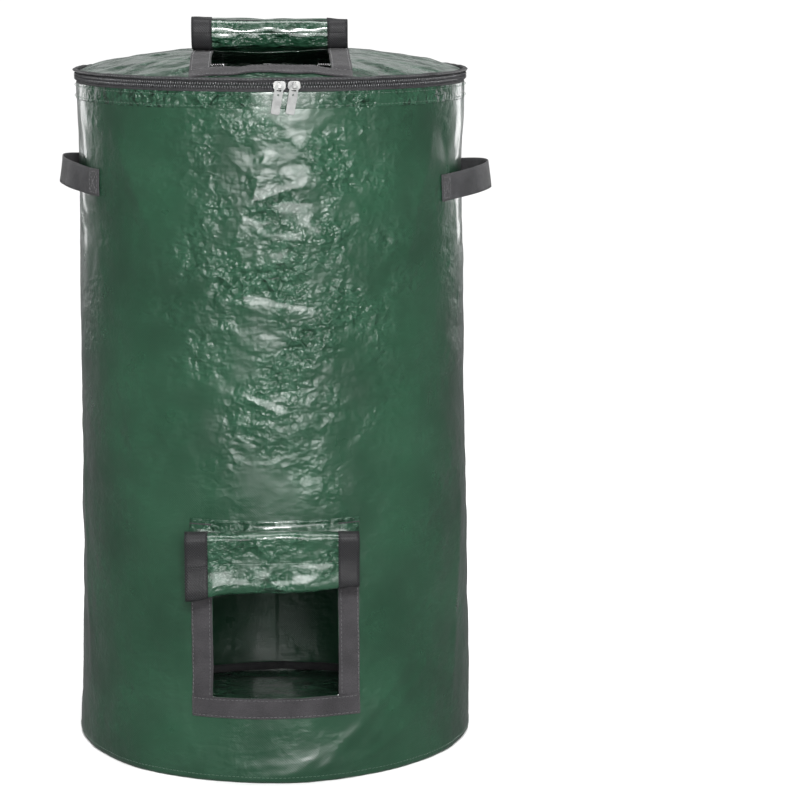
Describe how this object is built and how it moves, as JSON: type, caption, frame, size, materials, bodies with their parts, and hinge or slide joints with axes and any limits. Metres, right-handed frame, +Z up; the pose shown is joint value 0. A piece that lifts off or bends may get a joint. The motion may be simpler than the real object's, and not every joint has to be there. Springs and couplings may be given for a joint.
{
  "type": "compost bag",
  "caption": "Upright round compost bag of coated woven fabric with a zipped domed lid, a roll-up flap window in the lid and another low in the front, and strap handles.",
  "frame": {"origin": "on the floor under the middle of the bag's round base", "axes": "+Z up along the bag's axis, -Y towards the harvest window at the front, +X to the right seen from the front"},
  "size_m": [0.4974, 0.4961, 0.8402],
  "materials": {
    "green_fabric": "glossy laminated woven polyethylene",
    "black_binding": "matt woven tape",
    "zip_tape": "matt knitted zip tape",
    "zip_coil": "satin nylon coil",
    "loop_tape": "soft looped pile",
    "hook_tape": "rough hooks",
    "webbing": "ribbed polypropylene webbing",
    "zip_metal": "satin painted zinc"
  },
  "bodies": {
    "bag": {"wall_panel": "green_fabric", "base_panel": "green_fabric", "base_seam_binding": "black_binding", "wall_top_hem": "green_fabric", "zip_tape_lower": "zip_tape", "zip_coil_lower": "zip_coil", "zip_end_tabs": "black_binding", "hinge_strip_lower": "green_fabric", "front_flap_hem": "green_fabric", "front_frame_left": "loop_tape", "front_frame_right": "loop_tape", "front_frame_bottom": "loop_tape", "handle_left_ends": "webbing", "handle_right_ends": "webbing", "handle_left_risers": "webbing", "handle_right_risers": "webbing"},
    "lid": {"lid_panel": "green_fabric", "lid_piping": "black_binding", "zip_tape_upper": "zip_tape", "zip_coil_upper": "zip_coil", "hinge_strip_upper": "green_fabric", "top_frame_left": "loop_tape", "top_frame_right": "loop_tape", "top_frame_front": "loop_tape", "top_flap_hem": "green_fabric"},
    "slider_left": {"slider_left": "zip_metal"},
    "slider_right": {"slider_right": "zip_metal"},
    "pull_left": {"pull_left": "zip_metal"},
    "pull_right": {"pull_right": "zip_metal"},
    "handle_left": {"handle_left_loop": "webbing"},
    "handle_right": {"handle_right_loop": "webbing"},
    "front_roll_1": {"front_flap_1": "green_fabric", "front_hooks_1": "hook_tape"},
    "front_roll_2": {"front_flap_2": "green_fabric", "front_hooks_2": "hook_tape"},
    "front_roll_3": {"front_flap_3": "green_fabric", "front_hooks_3": "hook_tape"},
    "front_roll_4": {"front_flap_4": "green_fabric", "front_hooks_4": "hook_tape"},
    "front_roll_5": {"front_flap_5": "green_fabric", "front_hooks_5": "hook_tape"},
    "top_roll_1": {"top_flap_1": "green_fabric", "top_hooks_1": "hook_tape"},
    "top_roll_2": {"top_flap_2": "green_fabric", "top_hooks_2": "hook_tape"},
    "top_roll_3": {"top_flap_3": "green_fabric", "top_hooks_3": "hook_tape"},
    "top_roll_4": {"top_flap_4": "green_fabric", "top_hooks_4": "hook_tape"},
    "top_roll_5": {"top_flap_5": "green_fabric", "top_hooks_5": "hook_tape"},
    "top_roll_6": {"top_flap_6": "green_fabric", "top_hooks_6": "hook_tape"}
  },
  "joints": [
    {"name": "lid_hinge", "type": "hinge", "parent": "bag", "child": "lid", "pos_m": [0, 0.23, 0.773], "axis": [-1, 0, 0], "range_deg": [0, 200]},
    {"name": "slider_left_travel", "type": "hinge", "parent": "bag", "child": "slider_left", "pos_m": [0, 0, 0.773], "axis": [0, 0, 1], "range_deg": [-161, 0]},
    {"name": "slider_right_travel", "type": "hinge", "parent": "bag", "child": "slider_right", "pos_m": [0, 0, 0.773], "axis": [0, 0, 1], "range_deg": [0, 152]},
    {"name": "pull_left_swing", "type": "hinge", "parent": "slider_left", "child": "pull_left", "pos_m": [0.00915, -0.22747, 0.7723], "axis": [-0.9992, -0.0402, 0], "range_deg": [0, 175]},
    {"name": "pull_right_swing", "type": "hinge", "parent": "slider_right", "child": "pull_right", "pos_m": [0.02497, -0.22628, 0.7723], "axis": [-0.994, -0.1097, 0], "range_deg": [0, 175]},
    {"name": "handle_left_lift", "type": "hinge", "parent": "bag", "child": "handle_left", "pos_m": [-0.20247, 0, 0.658], "axis": [0, 1, 0], "range_deg": [-30, 35]},
    {"name": "handle_right_lift", "type": "hinge", "parent": "bag", "child": "handle_right", "pos_m": [0.20247, 0, 0.658], "axis": [0, -1, 0], "range_deg": [-30, 35]},
    {"name": "front_flap_lift", "type": "hinge", "parent": "bag", "child": "front_roll_1", "pos_m": [0, -0.2339, 0.294], "axis": [-1, 0, 0], "range_deg": [0, 90]},
    {"name": "front_flap_unroll", "type": "hinge", "parent": "front_roll_1", "child": "front_roll_2", "pos_m": [0, -0.2339, 0.225], "axis": [1, 0, 0], "range_deg": [0, 90]},
    {"name": "front_flap_crease_2", "type": "hinge", "parent": "front_roll_2", "child": "front_roll_3", "pos_m": [0, -0.2639, 0.225], "axis": [1, 0, 0], "range_deg": [0, 90]},
    {"name": "front_flap_crease_3", "type": "hinge", "parent": "front_roll_3", "child": "front_roll_4", "pos_m": [0, -0.2639, 0.293], "axis": [1, 0, 0], "range_deg": [0, 90]},
    {"name": "front_flap_crease_4", "type": "hinge", "parent": "front_roll_4", "child": "front_roll_5", "pos_m": [0, -0.2389, 0.293], "axis": [1, 0, 0], "range_deg": [0, 90]},
    {"name": "top_flap_lift", "type": "hinge", "parent": "lid", "child": "top_roll_1", "pos_m": [0, -0.014, 0.8049], "axis": [-1, 0, 0], "range_deg": [0, 90]},
    {"name": "top_flap_unroll", "type": "hinge", "parent": "top_roll_1", "child": "top_roll_2", "pos_m": [0, -0.052, 0.8049], "axis": [1, 0, 0], "range_deg": [0, 90]},
    {"name": "top_flap_crease_2", "type": "hinge", "parent": "top_roll_2", "child": "top_roll_3", "pos_m": [0, -0.052, 0.8389], "axis": [1, 0, 0], "range_deg": [0, 90]},
    {"name": "top_flap_crease_3", "type": "hinge", "parent": "top_roll_3", "child": "top_roll_4", "pos_m": [0, -0.016, 0.8389], "axis": [1, 0, 0], "range_deg": [0, 90]},
    {"name": "top_flap_crease_4", "type": "hinge", "parent": "top_roll_4", "child": "top_roll_5", "pos_m": [0, -0.016, 0.8109], "axis": [1, 0, 0], "range_deg": [0, 90]},
    {"name": "top_flap_crease_5", "type": "hinge", "parent": "top_roll_5", "child": "top_roll_6", "pos_m": [0, -0.043, 0.8109], "axis": [1, 0, 0], "range_deg": [0, 90]}
  ],
  "couplings": [
    {"joint": "front_flap_crease_2", "follows": "front_flap_unroll", "ratio": 1},
    {"joint": "front_flap_crease_3", "follows": "front_flap_unroll", "ratio": 1},
    {"joint": "front_flap_crease_4", "follows": "front_flap_unroll", "ratio": 1},
    {"joint": "top_flap_crease_2", "follows": "top_flap_unroll", "ratio": 1},
    {"joint": "top_flap_crease_3", "follows": "top_flap_unroll", "ratio": 1},
    {"joint": "top_flap_crease_4", "follows": "top_flap_unroll", "ratio": 1},
    {"joint": "top_flap_crease_5", "follows": "top_flap_unroll", "ratio": 1}
  ]
}
